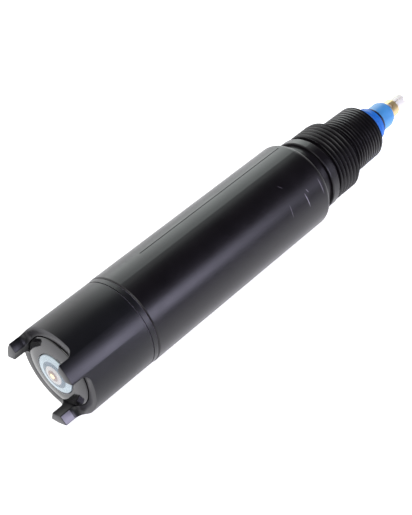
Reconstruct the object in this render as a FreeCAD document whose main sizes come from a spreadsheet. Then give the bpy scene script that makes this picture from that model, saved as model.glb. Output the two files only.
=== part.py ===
import FreeCAD, Part
import math
import os

import Sketcher

# Water quality probe lying on its side. Millimetres; +X runs along the axis from the
# sensing end to the plug, +Z is up, and the origin is under the middle of the probe.
# Outlines are drawn as (distance from the prong tips, radius) and turned about the axis.

sizes = {
    "total_length": 229.0,
    "axis_height": 20.0,
    # protection guard
    "guard_length": 38.9,
    "guard_radius": 19.8,
    "guard_bore": 15.8,
    "guard_ledge": 29.6,
    "guard_skirt_bore": 17.35,
    "slot_depth": 7.7,
    "slot_fillet": 3.4,
    "slot_apex": 11.5,
    "slot_reach": 25.0,
    "slot_half_width": 21.07,
    "slot_turn": 72.5,
    "guard_edge_chamfer": 0.45,
    "guard_seal_at": 36.0,
    "guard_seal_middle": 17.9,
    "guard_seal_section": 0.6,
    "seal_play": 0.25,
    # membrane cap
    "window_front": 5.8,
    "window_radius": 9.1,
    "cap_edge_at": 7.1,
    "cap_radius": 15.5,
    "cap_edge_break": 0.35,
    "cap_rear": 27.6,
    "cap_thread_bore": 11.85,
    "chamber_radius": 12.8,
    "chamber_rear": 18.8,
    "clamp_seat": 7.6,
    "clamp_radius": 11.0,
    "clamp_rear": 9.8,
    "cap_seal_at": 26.95,
    "cap_seal_middle": 13.4,
    "cap_seal_section": 0.65,
    # membrane
    "foil_thickness": 0.15,
    "foil_gap": 0.3,
    # electrodes, from the middle outwards
    "face_front": 4.25,
    "cathode_radius": 1.25,
    "bond_radius": 2.55,
    "insulator_radius": 4.2,
    "guard_ring_radius": 6.0,
    "sleeve_radius": 8.6,
    "face_slope": 0.204,
    "bond_rear": 12.0,
    "cathode_rear": 20.0,
    "cathode_lead_radius": 0.5,
    "cathode_lead_rear": 41.0,
    "guard_ring_rear": 9.0,
    "anode_front": 10.2,
    "anode_rear": 16.4,
    "anode_inner_radius": 7.7,
    "electrode_rear": 34.0,
    # sensor head
    "head_front": 17.0,
    "head_nose_radius": 10.4,
    "cap_thread_front": 19.0,
    "cap_thread_rear": 26.4,
    "cap_thread_radius": 11.5,
    "cap_thread_depth": 0.8,
    "cap_thread_pitch": 1.5,
    "head_flange_front": 28.0,
    "head_flange_rear": 30.4,
    "guard_thread_rear": 38.1,
    "guard_thread_radius": 17.0,
    "guard_thread_depth": 1.0,
    "guard_thread_pitch": 2.0,
    "band_rear": 41.5,
    "joint_chamfer": 0.45,
    "spigot_radius": 16.0,
    "spigot_rear": 56.0,
    "spigot_chamfer": 1.0,
    "shaft_seal_at": 47.0,
    "shaft_seal_section": 1.0,
    "shaft_groove_half": 1.2,
    "electrode_bore": 6.0,
    "head_pocket_front": 44.0,
    "head_pocket_radius": 12.0,
    "sensor_offset": 8.2,
    # sensor shaft
    "shaft_radius": 20.0,
    "shaft_rear": 149.6,
    "shaft_rounding": 2.8,
    "shaft_bore": 16.05,
    "shaft_bore_rear": 143.0,
    "neck_radius": 15.7,
    "collar_front": 155.0,
    "collar_rear": 159.3,
    "collar_radius": 17.05,
    "collar_rounding": 0.5,
    "runout_radius": 15.1,
    "straight_thread_front": 161.5,
    "straight_thread_rear": 175.4,
    "straight_thread_radius": 16.62,
    "straight_thread_depth": 1.48,
    "straight_thread_pitch": 2.309,
    "taper_thread_front": 177.2,
    "taper_thread_rear": 197.5,
    "taper_thread_big_radius": 13.3,
    "taper_thread_small_radius": 12.9,
    "taper_thread_depth": 1.3,
    "taper_thread_pitch": 1.814,
    "thread_chamfer": 0.9,
    "thread_root_share": 0.06,
    "thread_flank_share": 0.36,
    "thread_break_share": 0.1,
    "thread_start_share": 0.47,
    "thread_lip": 0.03,
    "thread_overcut": 0.2,
    "lead_bore": 5.6,
    "plug_bore": 7.45,
    "plug_bore_front": 184.0,
    # plug head
    "plug_shank_radius": 7.4,
    "plug_shank_front": 186.0,
    "ring_rear": 205.0,
    "ring_radius": 8.15,
    "ring_chamfer": 0.25,
    "ring_thread_depth": 0.45,
    "ring_thread_pitch": 1.5,
    "ring_thread_end": 203.4,
    "plug_groove_rear": 207.8,
    "plug_groove_radius": 5.0,
    "plug_seal_section": 1.05,
    "nose_radius": 6.25,
    "nose_step": 214.2,
    "nose_step_length": 0.45,
    "nose_end_radius": 5.5,
    "nose_edge": 0.3,
    "nose_rear": 216.2,
    "contact_radius": 4.1,
    "contact_inner_radius": 3.25,
    "contact_front": 190.0,
    "contact_rear": 222.0,
    "contact_edge": 0.2,
    "contact_flange_radius": 5.5,
    "contact_flange_rear": 191.5,
    "contact_window_front": 216.9,
    "contact_window_rear": 219.3,
    "contact_window_width": 2.5,
    "contact_window_turn": 19.0,
    "tip_front": 188.6,
    "tip_inner_radius": 1.9,
    "tip_outer_radius": 3.2,
    "tip_edge": 0.25,
    "tip_slit_front": 222.4,
    "tip_slit_rear": 227.4,
    "tip_slit_width": 0.5,
    "tip_slit_turn": 14.5,
    "tip_notch_depth": 1.2,
    "tip_notch_width": 1.5,
    "tip_notch_turn": 50.0,
    "pin_front": 187.6,
    "pin_rear": 226.4,
    "pin_radius": 1.75,
    "pin_socket_radius": 0.6,
    "pin_socket_depth": 14.0,
    "pin_flange_radius": 3.0,
    # parts inside the shaft
    "board_front": 60.6,
    "board_thickness": 1.6,
    "board_radius": 15.0,
    "contact_pin_radius": 0.5,
    "contact_pin_circle": 3.6,
    "contact_pin_rear": 63.4,
    "sensor_radius": 1.2,
    "sensor_front": 18.2,
    "sensor_rear": 60.6,
    "chip_thickness": 1.7,
    "chip_width": 6.0,
    "chip_height": 8.0,
    "chip_across": 5.0,
    "capacitor_length": 7.0,
    "capacitor_radius": 2.5,
    "capacitor_across": 8.5,
    "capacitor_up": 3.5,
    "resistor_thickness": 1.2,
    "resistor_width": 6.0,
    "resistor_height": 2.2,
    "resistor_across": 9.0,
    "resistor_step": 4.0,
    "lead_radius": 1.6,
    "lead_front": 62.2,
    "lead_rear": 187.6,
    "wire_radius": 0.55,
    "wire_offset": 3.85,
    "wire_rear": 190.0,
    "sleeve_front": 96.0,
    "sleeve_rear": 112.0,
    "sleeve_outer_radius": 4.9,
    "sleeve_wall": 0.3,
    "potting_front": 130.0,
    "potting_rear": 176.0,
}

document = FreeCAD.newDocument("WaterQualityProbe")
sheet = document.addObject("Spreadsheet::Sheet", "Sizes")
for row, (name, size) in enumerate(sizes.items(), start=1):
    sheet.set("A%d" % row, name)
    sheet.set("B%d" % row, str(size))
    sheet.setAlias("B%d" % row, name)
document.recompute()

pieces = []


def amount(formula):
    """Number that a formula such as 'ring_rear - 2 * thread_chamfer' stands for."""
    total = 0.0
    for term in formula.replace("- ", "+ -").split("+"):
        product = 1.0
        for factor in term.split("*"):
            word = factor.strip()
            if word.startswith("-"):
                product = -product
                word = word[1:]
            product *= sizes[word] if word in sizes else float(word)
        total += product
    return total


def linked(formula):
    """The same formula with each size read from the sheet."""
    words = []
    for word in formula.split():
        name = word.lstrip("-")
        words.append(word.replace(name, "Sizes." + name) if name in sizes else word)
    return " ".join(words)


def between(front, rear):
    return linked(rear) + " - (" + linked(front) + ")"


def place(piece):
    """Move a piece drawn about the X axis to where the probe lies."""
    piece.setExpression("Placement.Base.x", linked("-0.5 * total_length"))
    piece.setExpression("Placement.Base.z", linked("axis_height"))
    pieces.append(piece)
    return piece


def origin_plane(body, role):
    return [feature for feature in body.Origin.OriginFeatures if feature.Role == role][0]


def draw(body, name, corners, role="XZ_Plane"):
    """Closed outline of straight lines whose corners follow the sheet."""
    sketch = body.newObject("Sketcher::SketchObject", name)
    sketch.AttachmentSupport = [(origin_plane(body, role), "")]
    sketch.MapMode = "FlatFace"
    points = [FreeCAD.Vector(amount(x), amount(y), 0) for x, y in corners]
    count = len(points)
    lines = [Part.LineSegment(points[i], points[(i + 1) % count]) for i in range(count)]
    sketch.addGeometry(lines, False)
    rules = []
    links = []
    for i in range(count):
        rules.append(Sketcher.Constraint("Coincident", i, 2, (i + 1) % count, 1))
    for i, corner in enumerate(corners):
        for kind, axis, formula in zip(("DistanceX", "DistanceY"), (-2, -1), corner):
            if amount(formula) == 0:
                rules.append(Sketcher.Constraint("PointOnObject", i, 1, axis))
                continue
            links.append((len(rules), formula))
            rules.append(Sketcher.Constraint(kind, -1, 1, i, 1, amount(formula)))
    sketch.addConstraint(rules)
    for index, formula in links:
        sketch.setExpression("Constraints[%d]" % index, linked(formula))
    return sketch


def turned(label, corners):
    """Body turned about the probe's axis from an outline of (distance, radius)."""
    body = document.addObject("PartDesign::Body", label)
    sketch = draw(body, label + "_outline", corners)
    solid = body.newObject("PartDesign::Revolution", label + "_turned")
    solid.Profile = sketch
    solid.ReferenceAxis = (sketch, ["H_Axis"])
    solid.Angle = 360
    document.recompute()
    return place(body)


def face(radius):
    """Distance of the electrode face at a radius: a flat tip, then a shallow cone."""
    return "face_front + face_slope * " + radius + " - face_slope * cathode_radius"


def cut_thread(body, name, first, last, crest, depth, pitch):
    """Right-hand V thread with broken crests, its groove starting at first and ending at last."""
    flank = " thread_flank_share * " + pitch
    mouth = flank + " SIGN thread_break_share * " + pitch + " SIGN thread_lip"
    half = [
        (" thread_root_share * " + pitch, crest + " - " + depth),
        (flank, crest + " - thread_break_share * " + pitch),
        (mouth, crest + " + thread_lip"),
        (mouth, crest + " + thread_overcut"),
    ]
    corners = [(first + " +" + reach.replace("SIGN", "+"), radius) for reach, radius in half]
    corners += [(first + " -" + reach.replace("SIGN", "-"), radius) for reach, radius in reversed(half)]
    sketch = draw(body, name + "_profile", corners)
    document.recompute()
    before = body.Shape.Volume
    helix = body.newObject("PartDesign::SubtractiveHelix", name)
    helix.Profile = sketch
    helix.ReferenceAxis = (sketch, ["H_Axis"])
    helix.Mode = 0
    helix.Angle = 0
    helix.setExpression("Pitch", linked(pitch))
    helix.Pitch = amount(pitch)
    helix.Height = amount(last) - amount(first)
    document.recompute()
    helix.setExpression("Height", between(first, last))
    document.recompute()
    if body.Shape.Volume > before - 1:
        raise RuntimeError(name + " cut nothing")


def ease(body, kind, name, distance, radius, size):
    """Fillet or chamfer on the round edge at a distance and radius."""
    base = body.Tip
    edges = []
    for number, edge in enumerate(base.Shape.Edges, start=1):
        curve = edge.Curve
        if not isinstance(curve, Part.Circle):
            continue
        off_place = abs(curve.Center.x - amount(distance))
        off_radius = abs(curve.Radius - amount(radius))
        if off_place < 0.01 and off_radius < 0.01:
            edges.append("Edge%d" % number)
    feature = body.newObject("PartDesign::" + kind, name)
    feature.Base = (base, edges)
    feature.setExpression("Radius" if kind == "Fillet" else "Size", linked(size))
    document.recompute()
    return feature


def rod(label, front, rear, radius, across="0", up="0"):
    """Round rod along the probe, beside its axis by across (+Y) and up (+Z)."""
    piece = document.addObject("Part::Cylinder", label)
    piece.Placement.Rotation = FreeCAD.Rotation(FreeCAD.Vector(0, 1, 0), 90)
    piece.setExpression("Radius", linked(radius))
    piece.setExpression("Height", between(front, rear))
    piece.setExpression("Placement.Base.x", linked(front + " - 0.5 * total_length"))
    piece.setExpression("Placement.Base.y", linked(across))
    piece.setExpression("Placement.Base.z", linked("axis_height + " + up))
    return piece


def block(label, front, rear, width, height, across, up):
    """Box along the probe, width across and height up from its lower face."""
    piece = document.addObject("Part::Box", label)
    piece.setExpression("Length", between(front, rear))
    piece.setExpression("Width", linked(width))
    piece.setExpression("Height", linked(height))
    piece.setExpression("Placement.Base.x", linked(front + " - 0.5 * total_length"))
    piece.setExpression("Placement.Base.y", linked(across))
    piece.setExpression("Placement.Base.z", linked("axis_height + " + up))
    return piece


def ring(label, at, middle, section):
    """Rubber ring of round section about the probe's axis."""
    piece = document.addObject("Part::Torus", label)
    piece.Placement.Rotation = FreeCAD.Rotation(FreeCAD.Vector(0, 1, 0), 90)
    piece.setExpression("Radius1", linked(middle))
    piece.setExpression("Radius2", linked(section))
    piece.setExpression("Placement.Base.x", linked(at + " - 0.5 * total_length"))
    piece.setExpression("Placement.Base.z", linked("axis_height"))
    pieces.append(piece)
    return piece


def group(label, members):
    """Separate solids that share one node."""
    piece = document.addObject("Part::Compound", label)
    piece.Links = members
    return piece


def cut(label, base, tool):
    piece = document.addObject("Part::Cut", label)
    piece.Base = base
    piece.Tool = tool
    return piece


def radial_slot(label, front, rear, width, reach, turn):
    """Cutter that opens one side of a tube, turned from +Z towards -Y."""
    cutter = block(label, front, rear, width, reach, "-0.5 * " + width, "0")
    angle = math.radians(amount(turn))
    half = 0.5 * amount(width)
    cutter.Placement.Rotation = FreeCAD.Rotation(FreeCAD.Vector(1, 0, 0), amount(turn))
    side = "-0.5 * " + width + " * %.6f" % math.cos(angle)
    lift = "axis_height - 0.5 * " + width + " * %.6f" % math.sin(angle)
    cutter.setExpression("Placement.Base.y", linked(side))
    cutter.setExpression("Placement.Base.z", linked(lift))
    return cutter


def protection_guard():
    seal_half = "guard_seal_section + seal_play"
    groove_front = "guard_seal_at - guard_seal_section - seal_play"
    groove_rear = "guard_seal_at + " + seal_half
    groove_floor = "guard_seal_middle + " + seal_half
    body = turned("protection_guard", [
        ("0", "guard_bore"),
        ("0", "guard_radius"),
        ("guard_length", "guard_radius"),
        ("guard_length", "guard_skirt_bore"),
        (groove_rear, "guard_skirt_bore"),
        (groove_rear, groove_floor),
        (groove_front, groove_floor),
        (groove_front, "guard_skirt_bore"),
        ("guard_ledge", "guard_skirt_bore"),
        ("guard_ledge", "guard_bore"),
    ])
    turn = FreeCAD.Rotation(FreeCAD.Vector(1, 0, 0), sizes["slot_turn"])
    body.Placement.Rotation = turn
    ease(body, "Chamfer", "guard_rear_edge", "guard_length", "guard_radius", "guard_edge_chamfer")
    before = body.Shape.Volume
    sketch = draw(body, "slot_outline", [
        ("-slot_apex", "0"),
        ("slot_reach", "-slot_half_width"),
        ("slot_reach", "slot_half_width"),
    ], "YZ_Plane")
    slot = body.newObject("PartDesign::Pocket", "slot")
    slot.Profile = sketch
    slot.setExpression("Length", linked("slot_depth"))
    slot.Reversed = True
    document.recompute()
    slots = body.newObject("PartDesign::PolarPattern", "slots")
    slots.Originals = [slot]
    slots.Axis = (sketch, ["N_Axis"])
    slots.Angle = 360
    slots.Occurrences = 3
    body.Tip = slots
    document.recompute()
    if body.Shape.Volume > before - 500:
        raise RuntimeError("the guard's slots are not cut")
    roots = []
    for number, edge in enumerate(slots.Shape.Edges, start=1):
        low = edge.BoundBox.XMin
        high = edge.BoundBox.XMax
        straight = isinstance(edge.Curve, (Part.Line, Part.LineSegment))
        if straight and abs(low - sizes["slot_depth"]) < 0.01 and high - low < 0.01:
            roots.append("Edge%d" % number)
    fillet = body.newObject("PartDesign::Fillet", "slot_roots")
    fillet.Base = (slots, roots)
    fillet.setExpression("Radius", linked("slot_fillet"))
    document.recompute()
    return body


def membrane_cap():
    groove_front = "cap_seal_at - cap_seal_section - seal_play"
    groove_inner = "cap_seal_middle - cap_seal_section - seal_play"
    groove_outer = "cap_seal_middle + cap_seal_section + seal_play"
    turned("membrane_cap", [
        ("window_front", "window_radius"),
        ("cap_edge_at", "cap_radius - cap_edge_break"),
        ("cap_edge_at + cap_edge_break", "cap_radius"),
        ("cap_rear", "cap_radius"),
        ("cap_rear", groove_outer),
        (groove_front, groove_outer),
        (groove_front, groove_inner),
        ("cap_rear", groove_inner),
        ("cap_rear", "cap_thread_bore"),
        ("chamber_rear", "cap_thread_bore"),
        ("chamber_rear", "chamber_radius"),
        ("clamp_rear", "chamber_radius"),
        ("clamp_rear", "clamp_radius"),
        ("clamp_seat", "clamp_radius"),
        ("clamp_seat", "window_radius"),
    ])


def membrane_foil():
    rim = face("window_radius") + " - foil_gap"
    inner_rim = rim + " - face_slope * foil_thickness"
    turned("membrane_foil", [
        ("face_front - foil_gap - foil_thickness", "0"),
        ("face_front - foil_gap - foil_thickness", "cathode_radius"),
        (rim + " - foil_thickness", "window_radius"),
        ("clamp_seat", "window_radius"),
        ("clamp_seat", "clamp_radius"),
        ("clamp_seat + foil_thickness", "clamp_radius"),
        ("clamp_seat + foil_thickness", "window_radius - foil_thickness"),
        (inner_rim, "window_radius - foil_thickness"),
        ("face_front - foil_gap", "cathode_radius"),
        ("face_front - foil_gap", "0"),
    ])


def membrane_clamp_ring():
    turned("membrane_clamp_ring", [
        ("clamp_seat + foil_thickness", "window_radius + foil_thickness"),
        ("clamp_seat + foil_thickness", "clamp_radius"),
        ("clamp_rear", "clamp_radius"),
        ("clamp_rear", "window_radius + foil_thickness"),
    ])


def electrodes():
    turned("gold_cathode", [
        ("face_front", "0"),
        ("face_front", "cathode_radius"),
        ("cathode_rear", "cathode_radius"),
        ("cathode_rear", "cathode_lead_radius"),
        ("cathode_lead_rear", "cathode_lead_radius"),
        ("cathode_lead_rear", "0"),
    ])
    turned("cathode_bond", [
        ("face_front", "cathode_radius"),
        (face("bond_radius"), "bond_radius"),
        ("bond_rear", "bond_radius"),
        ("bond_rear", "cathode_radius"),
    ])
    turned("cathode_insulator", [
        (face("bond_radius"), "bond_radius"),
        (face("insulator_radius"), "insulator_radius"),
        ("electrode_rear", "insulator_radius"),
        ("electrode_rear", "cathode_lead_radius"),
        ("cathode_rear", "cathode_lead_radius"),
        ("cathode_rear", "cathode_radius"),
        ("bond_rear", "cathode_radius"),
        ("bond_rear", "bond_radius"),
    ])
    turned("guard_electrode", [
        (face("insulator_radius"), "insulator_radius"),
        (face("guard_ring_radius"), "guard_ring_radius"),
        ("guard_ring_rear", "guard_ring_radius"),
        ("guard_ring_rear", "insulator_radius"),
    ])
    turned("electrode_sleeve", [
        (face("guard_ring_radius"), "guard_ring_radius"),
        (face("sleeve_radius"), "sleeve_radius"),
        ("anode_front", "sleeve_radius"),
        ("anode_front", "anode_inner_radius"),
        ("anode_rear", "anode_inner_radius"),
        ("anode_rear", "sleeve_radius"),
        ("head_front", "sleeve_radius"),
        ("head_front", "electrode_bore"),
        ("electrode_rear", "electrode_bore"),
        ("electrode_rear", "insulator_radius"),
        ("guard_ring_rear", "insulator_radius"),
        ("guard_ring_rear", "guard_ring_radius"),
    ])
    turned("silver_anode", [
        ("anode_front", "anode_inner_radius"),
        ("anode_front", "sleeve_radius"),
        ("anode_rear", "sleeve_radius"),
        ("anode_rear", "anode_inner_radius"),
    ])


def contact_pins():
    """Three pins through the head's back wall, evenly round the axis."""
    pins = []
    for number in range(3):
        angle = math.radians(90 + 120 * number)
        across = "contact_pin_circle * %.6f" % math.cos(angle)
        up = "contact_pin_circle * %.6f" % math.sin(angle)
        name = "contact_pin_%d" % number
        pins.append(rod(name, "electrode_rear", "contact_pin_rear", "contact_pin_radius", across, up))
    return group("contact_pins", pins)


def sensor_head(pins, sensor):
    cap_root = "cap_thread_radius - cap_thread_depth"
    guard_root = "guard_thread_radius - guard_thread_depth"
    groove_front = "shaft_seal_at - shaft_groove_half"
    groove_rear = "shaft_seal_at + shaft_groove_half"
    groove_floor = "shaft_bore - 2 * shaft_seal_section"
    body = turned("head_blank", [
        ("head_front", "electrode_bore"),
        ("head_front", "head_nose_radius"),
        ("cap_thread_front", "head_nose_radius"),
        ("cap_thread_front", "cap_thread_radius"),
        ("cap_thread_rear", "cap_thread_radius"),
        ("cap_thread_rear", cap_root),
        ("head_flange_front", cap_root),
        ("head_flange_front", "cap_radius"),
        ("head_flange_rear", "cap_radius"),
        ("head_flange_rear", "guard_thread_radius"),
        ("guard_thread_rear", "guard_thread_radius"),
        ("guard_thread_rear", guard_root),
        ("guard_length", guard_root),
        ("guard_length", "guard_radius"),
        ("band_rear - joint_chamfer", "guard_radius"),
        ("band_rear", "guard_radius - joint_chamfer"),
        ("band_rear", "spigot_radius"),
        (groove_front, "spigot_radius"),
        (groove_front, groove_floor),
        (groove_rear, groove_floor),
        (groove_rear, "spigot_radius"),
        ("spigot_rear - spigot_chamfer", "spigot_radius"),
        ("spigot_rear", "spigot_radius - spigot_chamfer"),
        ("spigot_rear", "head_pocket_radius"),
        ("head_pocket_front", "head_pocket_radius"),
        ("head_pocket_front", "0"),
        ("electrode_rear", "0"),
        ("electrode_rear", "electrode_bore"),
    ])
    pieces.remove(body)
    cut_thread(body, "cap_thread", "cap_thread_front - cap_thread_pitch",
               "cap_thread_rear + thread_start_share * cap_thread_pitch",
               "cap_thread_radius", "cap_thread_depth", "cap_thread_pitch")
    cut_thread(body, "guard_thread", "head_flange_rear - guard_thread_pitch",
               "guard_thread_rear - thread_flank_share * guard_thread_pitch",
               "guard_thread_radius", "guard_thread_depth", "guard_thread_pitch")
    lead_hole = rod("cathode_lead_hole", "electrode_rear", "cathode_lead_rear", "cathode_lead_radius")
    holes = group("head_holes", [pins, sensor, lead_hole])
    pieces.append(cut("sensor_head", body, holes))


def sensor_shaft():
    body = turned("sensor_shaft", [
        ("band_rear", "shaft_bore"),
        ("band_rear", "shaft_radius - joint_chamfer"),
        ("band_rear + joint_chamfer", "shaft_radius"),
        ("shaft_rear", "shaft_radius"),
        ("shaft_rear", "neck_radius"),
        ("collar_front", "neck_radius"),
        ("collar_front", "collar_radius"),
        ("collar_rear", "collar_radius"),
        ("collar_rear", "runout_radius"),
        ("straight_thread_front", "runout_radius"),
        ("straight_thread_front", "straight_thread_radius"),
        ("straight_thread_rear - thread_chamfer", "straight_thread_radius"),
        ("straight_thread_rear", "straight_thread_radius - thread_chamfer"),
        ("straight_thread_rear", "taper_thread_big_radius - taper_thread_depth"),
        ("taper_thread_front", "taper_thread_big_radius - taper_thread_depth"),
        ("taper_thread_front", "taper_thread_big_radius"),
        ("taper_thread_rear - thread_chamfer", "taper_thread_small_radius"),
        ("taper_thread_rear", "taper_thread_small_radius - thread_chamfer"),
        ("taper_thread_rear", "plug_bore"),
        ("plug_bore_front", "plug_bore"),
        ("plug_bore_front", "lead_bore"),
        ("shaft_bore_rear", "lead_bore"),
        ("shaft_bore_rear", "shaft_bore"),
    ])
    ease(body, "Fillet", "shoulder", "shaft_rear", "shaft_radius", "shaft_rounding")
    ease(body, "Fillet", "collar_front_edge", "collar_front", "collar_radius", "collar_rounding")
    ease(body, "Fillet", "collar_rear_edge", "collar_rear", "collar_radius", "collar_rounding")
    cut_thread(body, "straight_thread", "collar_rear + thread_start_share * straight_thread_pitch",
               "straight_thread_rear + straight_thread_pitch",
               "straight_thread_radius", "straight_thread_depth", "straight_thread_pitch")
    cut_thread(body, "taper_thread", "straight_thread_rear + thread_start_share * taper_thread_pitch",
               "taper_thread_rear + taper_thread_pitch",
               "taper_thread_big_radius", "taper_thread_depth", "taper_thread_pitch")


def inner_parts(pins):
    board_rear = "board_front + board_thickness"
    disc = rod("board_disc", "board_front", board_rear, "board_radius")
    pieces.append(cut("terminal_board", disc, pins))
    chip = block("chip", board_rear, board_rear + " + chip_thickness", "chip_width", "chip_height",
                 "chip_across", "-0.5 * chip_height")
    capacitor = rod("capacitor", board_rear, board_rear + " + capacitor_length",
                    "capacitor_radius", "-capacitor_across", "capacitor_up")
    resistors = []
    for number in range(2):
        down = "-1.5 * resistor_step - %d * resistor_step" % number
        resistors.append(block("resistor_%d" % number, board_rear, board_rear + " + resistor_thickness",
                               "resistor_width", "resistor_height", "-resistor_across", down))
    pieces.append(group("board_components", [chip, capacitor] + resistors))
    lead = rod("coaxial_lead", "lead_front", "lead_rear", "lead_radius")
    pieces.append(lead)
    wires = []
    for number, side in enumerate(("wire_offset", "-wire_offset")):
        wires.append(rod("temperature_wire_%d" % number, "lead_front", "wire_rear", "wire_radius", side))
    wires = group("temperature_leads", wires)
    pieces.append(wires)
    turned("lead_sleeve", [
        ("sleeve_front", "sleeve_outer_radius - sleeve_wall"),
        ("sleeve_front", "sleeve_outer_radius"),
        ("sleeve_rear", "sleeve_outer_radius"),
        ("sleeve_rear", "sleeve_outer_radius - sleeve_wall"),
    ])
    blank = turned("potting_blank", [
        ("potting_front", "0"),
        ("potting_front", "shaft_bore"),
        ("shaft_bore_rear", "shaft_bore"),
        ("shaft_bore_rear", "lead_bore"),
        ("potting_rear", "lead_bore"),
        ("potting_rear", "0"),
    ])
    pieces.remove(blank)
    pieces.append(cut("potting_plug", blank, group("potted_leads", [lead, wires])))


def plug_head():
    body = turned("plug_shell", [
        ("plug_shank_front", "contact_flange_radius"),
        ("plug_shank_front", "plug_shank_radius"),
        ("taper_thread_rear", "plug_shank_radius"),
        ("taper_thread_rear", "ring_radius"),
        ("ring_rear - ring_chamfer", "ring_radius"),
        ("ring_rear", "ring_radius - ring_chamfer"),
        ("ring_rear", "plug_groove_radius"),
        ("plug_groove_rear", "plug_groove_radius"),
        ("plug_groove_rear", "nose_radius"),
        ("nose_step", "nose_radius"),
        ("nose_step + nose_step_length", "nose_end_radius"),
        ("nose_rear - nose_edge", "nose_end_radius"),
        ("nose_rear", "nose_end_radius - nose_edge"),
        ("nose_rear", "contact_radius"),
        ("contact_flange_rear", "contact_radius"),
        ("contact_flange_rear", "contact_flange_radius"),
    ])
    ease(body, "Fillet", "nose_shoulder", "nose_step", "nose_radius", "nose_edge")
    cut_thread(body, "ring_thread", "taper_thread_rear - ring_thread_pitch", "ring_thread_end",
               "ring_radius", "ring_thread_depth", "ring_thread_pitch")
    ring("plug_o_ring", "0.5 * ring_rear + 0.5 * plug_groove_rear",
         "plug_groove_radius + plug_seal_section", "plug_seal_section")
    contact = turned("contact_blank", [
        ("contact_front", "contact_inner_radius"),
        ("contact_front", "contact_flange_radius"),
        ("contact_flange_rear", "contact_flange_radius"),
        ("contact_flange_rear", "contact_radius"),
        ("contact_rear - contact_edge", "contact_radius"),
        ("contact_rear", "contact_radius - contact_edge"),
        ("contact_rear", "contact_inner_radius"),
    ])
    pieces.remove(contact)
    window = radial_slot("contact_window", "contact_window_front", "contact_window_rear",
                         "contact_window_width", "ring_radius", "contact_window_turn")
    pieces.append(cut("plug_outer_contact", contact, window))
    tip = turned("tip_blank", [
        ("tip_front", "tip_inner_radius"),
        ("tip_front", "tip_outer_radius"),
        ("total_length - tip_edge", "tip_outer_radius"),
        ("total_length", "tip_outer_radius - tip_edge"),
        ("total_length", "tip_inner_radius"),
    ])
    pieces.remove(tip)
    slit = radial_slot("tip_slit", "tip_slit_front", "tip_slit_rear",
                       "tip_slit_width", "ring_radius", "tip_slit_turn")
    notch = radial_slot("tip_notch", "total_length - tip_notch_depth", "total_length + 1",
                        "tip_notch_width", "ring_radius", "tip_notch_turn")
    opening = radial_slot("tip_window", "contact_window_front", "contact_window_rear",
                          "contact_window_width", "ring_radius", "contact_window_turn")
    pieces.append(cut("plug_insulator", tip, group("tip_openings", [slit, notch, opening])))
    turned("plug_inner_contact", [
        ("pin_front", "0"),
        ("pin_front", "pin_flange_radius"),
        ("tip_front", "pin_flange_radius"),
        ("tip_front", "pin_radius"),
        ("pin_rear", "pin_radius"),
        ("pin_rear", "pin_socket_radius"),
        ("pin_rear - pin_socket_depth", "pin_socket_radius"),
        ("pin_rear - pin_socket_depth", "0"),
    ])


protection_guard()
ring("guard_seal_ring", "guard_seal_at", "guard_seal_middle", "guard_seal_section")
membrane_cap()
ring("cap_o_ring", "cap_seal_at", "cap_seal_middle", "cap_seal_section")
membrane_foil()
membrane_clamp_ring()
electrodes()
pins = contact_pins()
pieces.append(pins)
sensor = rod("temperature_sensor", "sensor_front", "sensor_rear", "sensor_radius", "sensor_offset")
pieces.append(sensor)
document.recompute()
sensor_head(pins, sensor)
ring("shaft_o_ring", "shaft_seal_at", "shaft_bore - shaft_seal_section", "shaft_seal_section")
sensor_shaft()
inner_parts(pins)
plug_head()
document.recompute()

for item in document.Objects:
    if "Invalid" in item.State or "Error" in item.State:
        raise RuntimeError("%s: %s" % (item.Label, item.State))
for piece in pieces:
    if piece.Shape.isNull() or not piece.Shape.isValid():
        raise RuntimeError(piece.Label + " has no valid shape")

os.makedirs("parts", exist_ok=True)
for piece in pieces:
    piece.Shape.exportStep("parts/" + piece.Label + ".step")
    print("%-22s %8.1f mm3, %d solids" % (piece.Label, piece.Shape.Volume, len(piece.Shape.Solids)))
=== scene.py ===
import math

import bmesh
import bpy
from mathutils import Matrix, Vector


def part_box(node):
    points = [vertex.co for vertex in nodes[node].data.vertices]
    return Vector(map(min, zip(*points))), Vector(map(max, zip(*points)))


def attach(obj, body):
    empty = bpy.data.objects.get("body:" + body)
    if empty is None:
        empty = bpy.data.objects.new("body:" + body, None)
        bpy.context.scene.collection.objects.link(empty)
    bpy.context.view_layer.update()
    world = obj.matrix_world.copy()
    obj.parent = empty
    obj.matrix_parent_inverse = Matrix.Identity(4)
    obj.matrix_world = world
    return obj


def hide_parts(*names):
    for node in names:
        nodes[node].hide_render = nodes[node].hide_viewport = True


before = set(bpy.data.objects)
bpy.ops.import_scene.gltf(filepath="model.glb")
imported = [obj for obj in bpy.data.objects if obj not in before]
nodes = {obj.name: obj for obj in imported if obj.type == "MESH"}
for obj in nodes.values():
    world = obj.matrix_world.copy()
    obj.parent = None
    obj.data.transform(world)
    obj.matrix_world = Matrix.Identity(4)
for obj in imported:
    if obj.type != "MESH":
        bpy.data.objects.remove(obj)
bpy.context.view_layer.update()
materials = {}   # the finish of each CAD part, and of the floor

shaftLow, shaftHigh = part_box("sensor_shaft")
axisHeight = (shaftLow.z + shaftHigh.z) / 2   # the probe lies on its side, this far above the floor
shaftRadius = (shaftHigh.z - shaftLow.z) / 2
axisCentre = Vector((0, 0, axisHeight))
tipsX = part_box("protection_guard")[0].x   # the prong ends
noiseSpan = (0.3, 0.7)   # most of a noise's values lie between these


def mm(value):
    return value / 1000


def fromTips(length):
    # the place along the probe of a length in mm from the prong ends
    return tipsX + mm(length)


def onShaft(length, turn):
    # a point of the shaft's surface: mm from the prong ends, and degrees from the top towards +Y
    angle = math.radians(turn)
    return Vector((fromTips(length), shaftRadius * math.sin(angle),
                   axisHeight + shaftRadius * math.cos(angle)))


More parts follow.
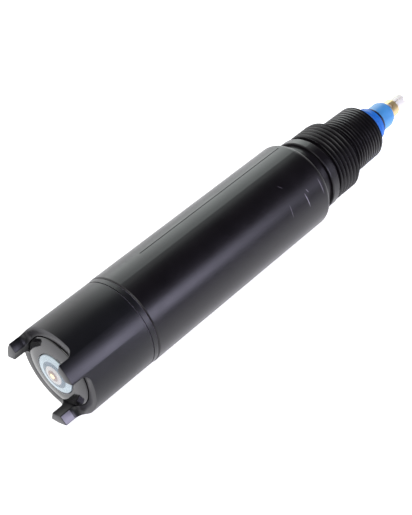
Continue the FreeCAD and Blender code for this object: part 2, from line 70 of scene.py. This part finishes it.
def linear(hexColour):
    channels = [int(hexColour[i:i + 2], 16) / 255 for i in (1, 3, 5)]
    return [c / 12.92 if c <= 0.04045 else ((c + 0.055) / 1.055) ** 2.4 for c in channels] + [1]


def addNode(tree, kind, settings=None, links=None):
    node = tree.nodes.new(kind)
    for name, value in (settings or {}).items():
        if isinstance(name, str) and hasattr(node, name):
            setattr(node, name, value)
        else:
            node.inputs[name].default_value = value
    for name, source in (links or {}).items():
        tree.links.new(source, node.inputs[name])
    return node


def pattern(tree, settings):
    # a soft noise of a real size in mm, drawn out round the probe where a tool or mould went round it
    place = addNode(tree, "ShaderNodeTexCoord").outputs["Object"]
    if "drawnRound" in settings:
        squeeze = (1, settings["drawnRound"], settings["drawnRound"])
        place = addNode(tree, "ShaderNodeMapping",
                        {"vector_type": "TEXTURE", "Location": axisCentre, "Scale": squeeze},
                        {"Vector": place}).outputs[0]
    perMetre = 1000 / settings["size"]
    return addNode(tree, "ShaderNodeTexNoise",
                   {"Scale": perMetre, "Detail": settings.get("detail", 3)},
                   {"Vector": place}).outputs["Fac"]


def makeFinish(name, look):
    # two colours are mixed by the mottle and two roughnesses by the polish, fine marks add to the
    # roughness, and the skin is a height; all of them are patterns
    material = bpy.data.materials.new(name)
    material.use_nodes = True
    tree = material.node_tree
    tree.nodes.clear()
    shader = addNode(tree, "ShaderNodeBsdfPrincipled",
                     {"Base Color": linear(look["colours"][0]), "Roughness": look["roughness"][0],
                      **look.get("shader", {})})
    addNode(tree, "ShaderNodeOutputMaterial", links={"Surface": shader.outputs[0]})
    if "mottle" in look:
        ramp = addNode(tree, "ShaderNodeValToRGB", links={"Fac": pattern(tree, look["mottle"])})
        for stop, colour in zip(ramp.color_ramp.elements, look["colours"]):
            stop.color = linear(colour)
        tree.links.new(ramp.outputs["Color"], shader.inputs["Base Color"])
    if "polish" in look:
        rough = addNode(tree, "ShaderNodeMapRange",
                        {"From Min": noiseSpan[0], "From Max": noiseSpan[1],
                         "To Min": look["roughness"][0], "To Max": look["roughness"][1]},
                        {"Value": pattern(tree, look["polish"])}).outputs[0]
        if "marks" in look:
            rough = addNode(tree, "ShaderNodeMath",
                            {"operation": "MULTIPLY_ADD", 1: look["marks"]["rougher"]},
                            {0: pattern(tree, look["marks"]), 2: rough}).outputs[0]
        tree.links.new(rough, shader.inputs["Roughness"])
    if "skin" in look:
        bump = addNode(tree, "ShaderNodeBump", {"Distance": mm(look["skin"]["depth"])},
                       {"Height": pattern(tree, look["skin"])})
        tree.links.new(bump.outputs[0], shader.inputs["Normal"])
    for part in look["parts"]:
        materials[part] = material
    return tree, shader


def makeMask(tree, fades):
    # 1 where every value has gone from its first limit to its second, and 0 where one has not begun
    mask = None
    for value, begin, end in fades:
        fade = addNode(tree, "ShaderNodeMapRange", {"From Min": begin, "From Max": end},
                       {"Value": value}).outputs[0]
        if mask:
            fade = addNode(tree, "ShaderNodeMath", {"operation": "MULTIPLY"},
                           {0: mask, 1: fade}).outputs[0]
        mask = fade
    return mask


def layColour(tree, shader, mask, colour):
    # another colour over those the shader has so far, where the mask is 1
    below = shader.inputs["Base Color"].links[0].from_socket
    mixed = addNode(tree, "ShaderNodeMix", {"data_type": "RGBA", 7: linear(colour)},
                    {0: mask, 6: below})
    tree.links.new(mixed.outputs[2], shader.inputs["Base Color"])


print("camera, light and floor")
cameraSettings = {
    "position": (-0.2979, -0.2414, 0.3763),
    "right": (0.6607, -0.7506, 0.0),
    "up": (0.5253, 0.4624, 0.7143),
    "lens": 87.06,
    "sensorWidth": 36,
    "nearest": 0.01,   # metres
}
bpy.ops.object.select_all(action="DESELECT")
bpy.ops.object.camera_add(location=cameraSettings["position"])
camera = bpy.context.object
camera.name = "studioCamera"
right, up = Vector(cameraSettings["right"]), Vector(cameraSettings["up"])
camera.rotation_euler = Matrix((right, up, right.cross(up))).transposed().to_euler()
camera.data.lens = cameraSettings["lens"]
camera.data.sensor_width = cameraSettings["sensorWidth"]
camera.data.clip_start = cameraSettings["nearest"]
bpy.context.scene.camera = camera
bpy.context.scene.view_settings.view_transform = "Standard"   # colours come out as they are given

# white paper, matt: it looks evenly white, and what the probe mirrors of it fades towards the near side
floorSettings = {
    "parts": ["floor"],
    "size": 30,
    "glow": 0.8,
    "nearGlow": 0.1, "farGlow": 0.82,       # what the probe mirrors
    "nearEdge": -0.14, "farEdge": -0.02,    # and between which places across the floor it fades
    "colours": ["#F4F4F4"], "roughness": [0.9],
    "shader": {"Specular IOR Level": 0, "Emission Color": (1, 1, 1, 1)},
}
bpy.ops.mesh.primitive_plane_add(size=floorSettings["size"], location=(0, 0, 0))
floor = bpy.context.object
floor.name = "floor"
tree, shader = makeFinish("whitePaper", floorSettings)
place = addNode(tree, "ShaderNodeTexCoord").outputs["Object"]
across = addNode(tree, "ShaderNodeSeparateXYZ", links={0: place}).outputs["Y"]
mirrored = addNode(tree, "ShaderNodeMapRange",
                   {"From Min": floorSettings["nearEdge"], "From Max": floorSettings["farEdge"],
                    "To Min": floorSettings["nearGlow"], "To Max": floorSettings["farGlow"]},
                   {"Value": across}).outputs[0]
cameraRay = addNode(tree, "ShaderNodeLightPath").outputs["Is Camera Ray"]
glow = addNode(tree, "ShaderNodeMix", {"data_type": "FLOAT", 3: floorSettings["glow"]},
               {0: cameraRay, 2: mirrored})
tree.links.new(glow.outputs[0], shader.inputs["Emission Strength"])
floor.data.materials.append(materials["floor"])

# each soft light: its centre, how far along the probe's axis it faces, width and height, in metres,
# and its brightness and tint
lights = {
    "sideSoftbox": {"centre": (0.16, -0.9, 0.47), "faces": 0.16, "size": (0.95, 0.42),
                    "brightness": 6.8, "tint": "#E6E3FF"},
    "farPanel": {"centre": (0.98, 0.85, 0.5), "faces": 0.98, "size": (1.1, 1.0),
                 "brightness": 1.5, "tint": "#E9F8F4"},
    "fillPanel": {"centre": (-1.0, -0.15, 0.95), "faces": 0, "size": (0.9, 0.9),
                  "brightness": 2.5, "tint": "#FFFFFF"},
}
for name, light in lights.items():
    width, height = light["size"]
    data = bpy.data.lights.new(name, "AREA")
    data.shape = "RECTANGLE"
    data.size, data.size_y = width, height
    data.energy = light["brightness"] * math.pi * width * height
    data.color = linear(light["tint"])[:3]
    lamp = bpy.data.objects.new(name, data)
    bpy.context.scene.collection.objects.link(lamp)
    lamp.location = light["centre"]
    away = Vector(light["centre"]) - Vector((light["faces"], 0, axisHeight))
    lamp.rotation_euler = away.to_track_quat("Z", "Y").to_euler()
    lamp.visible_camera = False

# the room: brightness by angle from straight up, negative to the near side and positive to the far side
room = {
    "nearFloor": (-180, 1.0), "nearWall": (-95, 0.15), "nearCeiling": (-60, 0.2),
    "ceiling": (-38, 0.03), "ceilingEdge": (16, 0.04), "farCeiling": (28, 0.4),
    "farWall": (58, 1.2), "farWallLow": (80, 1.9), "farFloor": (110, 1.9), "farEnd": (180, 1.0),
}
brightest = 2.0   # a ramp's colours are kept at or under 1, and the strength puts this back
world = bpy.data.worlds.new("studioRoom")
bpy.context.scene.world = world
world.use_nodes = True
tree = world.node_tree
tree.nodes.clear()
direction = addNode(tree, "ShaderNodeTexCoord").outputs["Generated"]
axes = addNode(tree, "ShaderNodeSeparateXYZ", links={0: direction})
angle = addNode(tree, "ShaderNodeMath", {"operation": "ARCTAN2"},
                {0: axes.outputs["Y"], 1: axes.outputs["Z"]})
turn = addNode(tree, "ShaderNodeMapRange", {"From Min": -math.pi, "From Max": math.pi},
               {"Value": angle.outputs[0]})
ramp = addNode(tree, "ShaderNodeValToRGB", links={"Fac": turn.outputs[0]})
stops = ramp.color_ramp.elements
stops.remove(stops[-1])
for index, (degrees, brightness) in enumerate(room.values()):
    position = (degrees + 180) / 360
    stop = stops[0] if index == 0 else stops.new(position)
    stop.position = position
    stop.color = [brightness / brightest] * 3 + [1]
roomLight = addNode(tree, "ShaderNodeBackground", {"Strength": brightest},
                    {"Color": ramp.outputs["Color"]})
seen = addNode(tree, "ShaderNodeBackground", {"Color": (1, 1, 1, 1), "Strength": 1.0})
cameraRay = addNode(tree, "ShaderNodeLightPath").outputs["Is Camera Ray"]
mixed = addNode(tree, "ShaderNodeMixShader",
                links={0: cameraRay, 1: roomLight.outputs[0], 2: seen.outputs[0]})
addNode(tree, "ShaderNodeOutputWorld", links={"Surface": mixed.outputs[0]})


print("materials")
# acetal, turned from black rod: satin, with tool marks so fine that they only soften its shine
guardFinish = {
    "parts": ["protection_guard", "sensor_head", "membrane_clamp_ring"],
    "colours": ["#0B0B0E", "#121217"], "mottle": {"size": 14},
    "roughness": [0.3, 0.35], "polish": {"size": 14},
    "marks": {"size": 0.5, "detail": 2, "drawnRound": 30, "rougher": 0.08},
    "skin": {"size": 0.5, "detail": 2, "drawnRound": 30, "depth": 0.002},
    "forwardSheen": "#232225", "forwardSheenFacing": (-0.7, -0.95),   # faces which look forwards are painted greyer: a painted reflection
    "edge": "#7A747C", "edgeHighlightFacing": (0.55, 0.65, 0.8, 0.9),   # rear chamfers are painted pale: a painted highlight
    "rubbed": "#86838F", "rubbedFacing": (0, -0.676, 0.737), "rubbedFade": (0.975, 0.99),
    "rubbedTo": 4.4, "rubbedToFade": 0.3,     # mm from the prong ends
    "rubbedUnder": -6, "rubbedUnderFade": 1,   # mm from the axis
}
tree, shader = makeFinish("turnedAcetal", guardFinish)
facing = addNode(tree, "ShaderNodeNewGeometry").outputs["True Normal"]
forwards = addNode(tree, "ShaderNodeSeparateXYZ", links={0: facing}).outputs["X"]
# painted reflection: every face that looks forwards is painted greyer
layColour(tree, shader, makeMask(tree, [(forwards, *guardFinish["forwardSheenFacing"])]), guardFinish["forwardSheen"])
# painted highlight: chamfers that look rearwards are painted pale
begin, full, fullTo, gone = guardFinish["edgeHighlightFacing"]
layColour(tree, shader, makeMask(tree, [(forwards, begin, full), (forwards, gone, fullTo)]),
          guardFinish["edge"])
side = addNode(tree, "ShaderNodeVectorMath",
               {"operation": "DOT_PRODUCT", 1: guardFinish["rubbedFacing"]},
               {0: facing}).outputs["Value"]
place = addNode(tree, "ShaderNodeTexCoord").outputs["Object"]
axes = addNode(tree, "ShaderNodeSeparateXYZ", links={0: place})
rubbedTo, under = guardFinish["rubbedTo"], axisHeight + mm(guardFinish["rubbedUnder"])
rubbed = makeMask(tree, [
    (side, *guardFinish["rubbedFade"]),
    (axes.outputs["X"], fromTips(rubbedTo + guardFinish["rubbedToFade"]), fromTips(rubbedTo)),
    (axes.outputs["Z"], under + mm(guardFinish["rubbedUnderFade"]), under),
])
layColour(tree, shader, rubbed, guardFinish["rubbed"])   # one prong's side is rubbed pale

# acetal, moulded and polished round: fine marks round it feather the highlight, and it has a few
# scratches
shaftFinish = {
    "parts": ["sensor_shaft"],
    "colours": ["#0A070B", "#120E13"], "mottle": {"size": 9},
    "roughness": [0.25, 0.29], "polish": {"size": 9},
    "marks": {"size": 0.5, "drawnRound": 8, "rougher": 0.1},
    "skin": {"size": 0.6, "depth": 0.004},   # coarser than the real skin, which is too fine to show
    "scuffed": "#A29DA8",
    "lineFade": (0.6, 0.3), "endFade": (0.5, 0.2),   # shares of a scratch's width and length
}
scratches = [
    # mm from the prong ends, degrees from the top, direction across, width and length in mm, strength
    (135.6, -59.5, (1, 0.12, 0), 0.42, 7.0, 0.9),
    (125.2, -58.0, (1, -0.2, 0), 0.45, 6.0, 0.3),
    (145.4, -56.0, (1, 0, 0), 0.5, 8.0, 0.45),
    (137.4, -49.5, (1, 0.5, 0), 0.4, 2.2, 0.4),
    (126.9, -26.0, (1, 0.5, 0.3), 0.4, 3.0, 0.2),
]
tree, shader = makeFinish("satinAcetal", shaftFinish)
place = addNode(tree, "ShaderNodeTexCoord").outputs["Object"]
scuffs = None
for length, turn, across, width, reach, strength in scratches:
    # a scratch is near the plane square to its direction across, and near its own middle
    offset = addNode(tree, "ShaderNodeVectorMath", {"operation": "SUBTRACT", 1: onShaft(length, turn)},
                     {0: place}).outputs[0]
    aside = addNode(tree, "ShaderNodeVectorMath",
                    {"operation": "DOT_PRODUCT", 1: Vector(across).normalized()},
                    {0: offset}).outputs["Value"]
    aside = addNode(tree, "ShaderNodeMath", {"operation": "ABSOLUTE"}, {0: aside}).outputs[0]
    away = addNode(tree, "ShaderNodeVectorMath", {"operation": "LENGTH"}, {0: offset}).outputs["Value"]
    line = makeMask(tree, [(aside, *[mm(width) * share for share in shaftFinish["lineFade"]]),
                           (away, *[mm(reach) * share for share in shaftFinish["endFade"]])])
    line = addNode(tree, "ShaderNodeMath", {"operation": "MULTIPLY", 1: strength}, {0: line}).outputs[0]
    if scuffs:
        line = addNode(tree, "ShaderNodeMath", {"operation": "MAXIMUM"},
                       {0: scuffs, 1: line}).outputs[0]
    scuffs = line
layColour(tree, shader, scuffs, shaftFinish["scuffed"])

# polyester, moulded blue: an even satin, deeper in colour on the threaded ring
plugFinish = {
    "parts": ["plug_shell"],
    "colours": ["#4996D8", "#57A5E4"], "mottle": {"size": 2},
    "roughness": [0.32, 0.42], "polish": {"size": 2},
    "ring": "#1F78DA", "ringTo": 206.5, "ringFade": 0.3,   # mm from the prong ends
}
tree, shader = makeFinish("mouldedBluePolyester", plugFinish)
place = addNode(tree, "ShaderNodeTexCoord").outputs["Object"]
along = addNode(tree, "ShaderNodeSeparateXYZ", links={0: place}).outputs["X"]
ringTo = plugFinish["ringTo"]
ring = makeMask(tree, [(along, fromTips(ringTo + plugFinish["ringFade"]), fromTips(ringTo))])
layColour(tree, shader, ring, plugFinish["ring"])

finishes = {
    # polyetherimide, moulded and polished black: deep gloss with a high index
    "polishedPolyetherimide": {
        "parts": ["membrane_cap"],
        "colours": ["#09080A", "#0E0D10"], "mottle": {"size": 6},
        "roughness": [0.07, 0.16], "polish": {"size": 1.2, "drawnRound": 8},
        "shader": {"IOR": 1.66},
    },
    # fluorocarbon film, stretched over the electrodes: clear with an icy haze
    "stretchedFluorocarbonFilm": {
        "parts": ["membrane_foil"],
        "colours": ["#DFE8F0"], "roughness": [0.12], "shader": {"Alpha": 0.05, "IOR": 1.36},
    },
    # stainless steel, turned: bright grey with fine rings
    "turnedStainlessSteel": {
        "parts": ["temperature_sensor"],
        "colours": ["#B4B7BC"],
        "roughness": [0.2, 0.36], "polish": {"size": 0.3, "drawnRound": 30},
        "shader": {"Metallic": 1.0},
    },
    # ethylene rubber, moulded: matt black with a fine dusty mottle
    "mouldedEthyleneRubber": {
        "parts": ["guard_seal_ring", "cap_o_ring", "shaft_o_ring"],
        "colours": ["#101012", "#1B1B1E"], "mottle": {"size": 2},
        "roughness": [0.6], "skin": {"size": 0.3, "depth": 0.008},
    },
    # fluorosilicone rubber, moulded: navy and half matt
    "mouldedFluorosilicone": {
        "parts": ["plug_o_ring"],
        "colours": ["#0A142E", "#101F48"], "mottle": {"size": 1.5},
        "roughness": [0.45], "skin": {"size": 0.3, "depth": 0.006},
    },
    # gold, lapped flat: warm and bright
    "lappedGold": {
        "parts": ["gold_cathode"],
        "colours": ["#FFE9BC"],
        "roughness": [0.18, 0.28], "polish": {"size": 0.5},
        "shader": {"Metallic": 0.8},
    },
    # epoxy, cast brown: a little uneven, half glossy
    "castBrownEpoxy": {
        "parts": ["cathode_bond"],
        "colours": ["#97817A", "#A8938A"], "mottle": {"size": 0.8}, "roughness": [0.35],
    },
    # alumina ceramic, ground: dense white
    "groundAlumina": {
        "parts": ["cathode_insulator"],
        "colours": ["#C3BFBD", "#CDCAC8"], "mottle": {"size": 0.8}, "roughness": [0.32],
    },
    # platinum, lapped: blue-grey, its shine softened by the lapping
    "lappedPlatinum": {
        "parts": ["guard_electrode"],
        "colours": ["#6F7C86", "#7C8992"], "mottle": {"size": 1.2}, "roughness": [0.4],
        "shader": {"Metallic": 0.6},
    },
    # acetal, turned from white rod: milky with a cold tint under the film
    "turnedWhiteAcetal": {
        "parts": ["electrode_sleeve"],
        "colours": ["#AFBFC7", "#B9C8CE"], "mottle": {"size": 2}, "roughness": [0.3],
    },
    # silver, drawn and chlorided: grey and dull in patches
    "chloridedSilver": {
        "parts": ["silver_anode"],
        "colours": ["#8A8685", "#D0D2D6"], "mottle": {"size": 2.5}, "roughness": [0.35],
        "shader": {"Metallic": 1.0},
    },
    # brass, turned and gold plated: warm satin with fine rings
    "goldPlatedBrass": {
        "parts": ["contact_pins", "plug_outer_contact", "plug_inner_contact"],
        "colours": ["#E0C488", "#F0DAA8"], "mottle": {"size": 1.5},
        "roughness": [0.32, 0.42], "polish": {"size": 0.5, "drawnRound": 20},
        "shader": {"Metallic": 0.75},
    },
    # glass-epoxy laminate, etched and lacquered: mottled green
    "lacqueredLaminate": {
        "parts": ["terminal_board"],
        "colours": ["#194C31", "#2A6C48"], "mottle": {"size": 0.5}, "roughness": [0.35],
    },
    # filled epoxy, transfer moulded: dull charcoal
    "mouldedEpoxy": {
        "parts": ["board_components"],
        "colours": ["#1B1B1D"], "roughness": [0.5], "skin": {"size": 0.2, "depth": 0.004},
    },
    # vinyl, extruded black over a cable: smooth with a slight orange peel
    "extrudedBlackVinyl": {
        "parts": ["coaxial_lead"],
        "colours": ["#19191B"], "roughness": [0.45], "skin": {"size": 1.2, "depth": 0.01},
    },
    # vinyl, extruded red over fine wire: smooth and half glossy
    "extrudedRedVinyl": {
        "parts": ["temperature_leads"],
        "colours": ["#9C2A22"], "roughness": [0.4], "skin": {"size": 1.2, "depth": 0.01},
    },
    # polyolefin, heat shrunk: black with soft ripples
    "shrunkPolyolefin": {
        "parts": ["lead_sleeve"],
        "colours": ["#101114"], "roughness": [0.38], "skin": {"size": 1.5, "depth": 0.02},
    },
    # epoxy, potted: dark amber and glassy, wavy where it set
    "pottedAmberEpoxy": {
        "parts": ["potting_plug"],
        "colours": ["#1D1610"], "roughness": [0.18], "skin": {"size": 4, "depth": 0.03},
    },
    # polyester, moulded ivory: a warm off-white, slightly glossy
    "mouldedIvoryPolyester": {
        "parts": ["plug_insulator"],
        "colours": ["#F2EEE4", "#FBF8F2"], "mottle": {"size": 1}, "roughness": [0.45],
    },
}
for name, look in finishes.items():
    makeFinish(name, look)
for name, node in nodes.items():
    node.data.materials.clear()
    node.data.materials.append(materials[name])


print("rounded edges")
# CAD parts copied with their sharp edges rounded over, so that they catch the light
easing = {
    "merge": 0.01,        # mm
    "flatness": 0.6,      # degrees
    "sharpness": 30,      # degrees
    "smoothing": 35,      # degrees
    "segments": 2,
}
easedParts = {
    # the part, its body and slot, the rounding in mm, and between which mm from the prong ends
    "guardShell": {"part": "protection_guard", "body": "guard", "slot": "guard_plastic",
                   "rounding": 0.2, "between": (-1, 9)},
    "membraneCap": {"part": "membrane_cap", "body": "cap", "slot": "cap_plastic",
                    "rounding": 0.12, "between": (-1, 8.5)},
    "plugContact": {"part": "plug_outer_contact", "body": "probe_body", "slot": "gilt_brass",
                    "rounding": 0.1, "between": (216.5, 230)},
    "plugTip": {"part": "plug_insulator", "body": "probe_body", "slot": "tip_plastic",
                "rounding": 0.1, "between": (216.5, 230)},
}
for name, eased in easedParts.items():
    piece = bpy.data.objects.new(name, nodes[eased["part"]].data.copy())
    bpy.context.scene.collection.objects.link(piece)
    bpy.ops.object.select_all(action="DESELECT")
    bpy.context.view_layer.objects.active = piece
    piece.select_set(True)
    bpy.ops.object.mode_set(mode="EDIT")
    bpy.ops.mesh.select_mode(type="EDGE")
    bpy.ops.mesh.select_all(action="SELECT")
    bpy.ops.mesh.remove_doubles(threshold=mm(easing["merge"]))
    bpy.ops.mesh.customdata_custom_splitnormals_clear()
    bpy.ops.mesh.dissolve_limited(angle_limit=math.radians(easing["flatness"]))
    bpy.ops.mesh.select_all(action="DESELECT")
    low, high = [fromTips(length) for length in eased["between"]]
    mesh = bmesh.from_edit_mesh(piece.data)
    for edge in mesh.edges:
        angle = edge.calc_face_angle() if len(edge.link_faces) == 2 else 0
        within = all(low < vertex.co.x < high for vertex in edge.verts)
        edge.select_set(angle > math.radians(easing["sharpness"]) and within)
    bmesh.update_edit_mesh(piece.data)
    bpy.ops.mesh.bevel(offset=mm(eased["rounding"]), segments=easing["segments"], affect="EDGES",
                       clamp_overlap=False, loop_slide=False)
    bpy.ops.object.mode_set(mode="OBJECT")
    bpy.ops.object.shade_smooth_by_angle(angle=math.radians(easing["smoothing"]))
    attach(piece, eased["body"])
    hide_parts(eased["part"])


print("witness line")
# the mould's parting line: a slender ridge along the shaft with a chamfered top, which reaches as far
# into the shaft as it stands proud; it is coarser than the real one, which is too fine to show
witness = {"from": 60.0, "to": 145.5, "turn": 21.0, "width": 0.18, "height": 0.134, "chamfer": 0.014,
           "segments": 2}
bpy.ops.object.select_all(action="DESELECT")
middle = onShaft((witness["from"] + witness["to"]) / 2, 0)
bpy.ops.mesh.primitive_cube_add(size=1, location=middle)
ridge = bpy.context.object
ridge.name = "witnessLine"
bpy.ops.object.mode_set(mode="EDIT")
bpy.ops.transform.resize(value=(mm(witness["to"] - witness["from"]), mm(witness["width"]),
                                2 * mm(witness["height"])))
mesh = bmesh.from_edit_mesh(ridge.data)
for edge in mesh.edges:
    edge.select_set(all(vertex.co.z > 0 for vertex in edge.verts))
bmesh.update_edit_mesh(ridge.data)
bpy.ops.mesh.bevel(offset=mm(witness["chamfer"]), segments=witness["segments"], affect="EDGES")
bpy.ops.mesh.select_all(action="SELECT")
bpy.ops.transform.rotate(value=math.radians(witness["turn"]), orient_axis="X",
                         center_override=axisCentre)
bpy.ops.object.mode_set(mode="OBJECT")
bpy.ops.object.transform_apply(location=True, rotation=True, scale=True)
ridge.data.materials.append(materials["sensor_shaft"])
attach(ridge, "probe_body")
